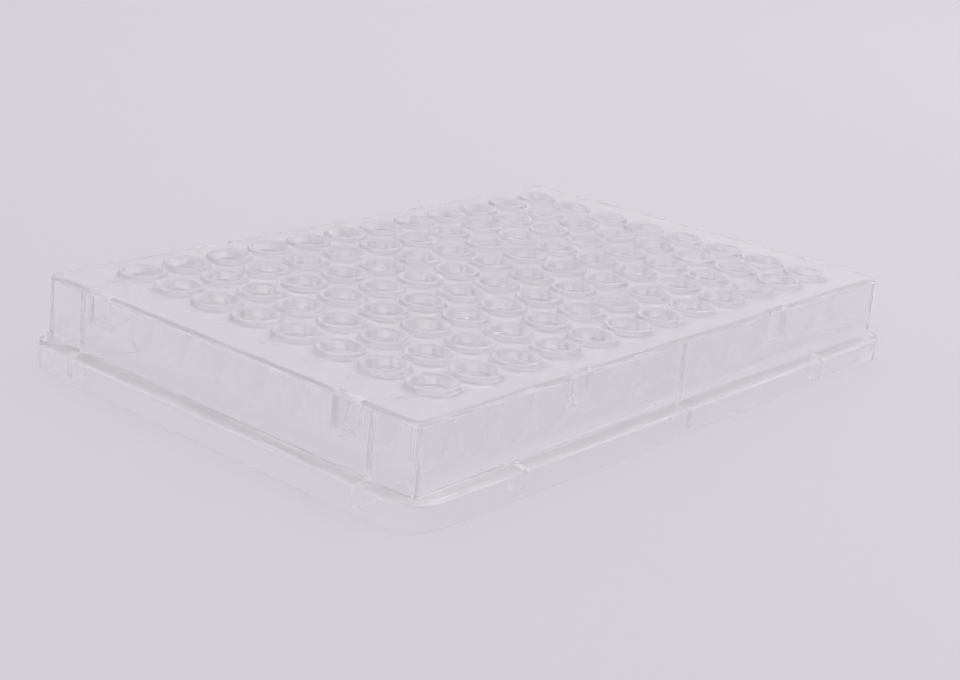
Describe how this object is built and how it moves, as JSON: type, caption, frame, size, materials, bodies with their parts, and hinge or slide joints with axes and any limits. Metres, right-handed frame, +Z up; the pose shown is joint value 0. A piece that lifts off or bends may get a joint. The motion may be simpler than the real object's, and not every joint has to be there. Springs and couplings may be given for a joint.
{
  "type": "well plate",
  "caption": "Clear skirted plate with a grid of small conical wells under raised rims, standing on a stepped foot flange.",
  "frame": {"origin": "middle of the footprint, on the plane that the plate stands on", "axes": "+X along the long side, from the first column of wells towards the last; +Y along the short side, towards the first row; +Z up"},
  "size_m": [0.1278, 0.0854, 0.0158],
  "materials": {
    "clear_plastic": "clear, uncoloured, smooth moulded polypropylene"
  },
  "bodies": {
    "root": {"well_plate": "clear_plastic"}
  },
  "joints": []
}
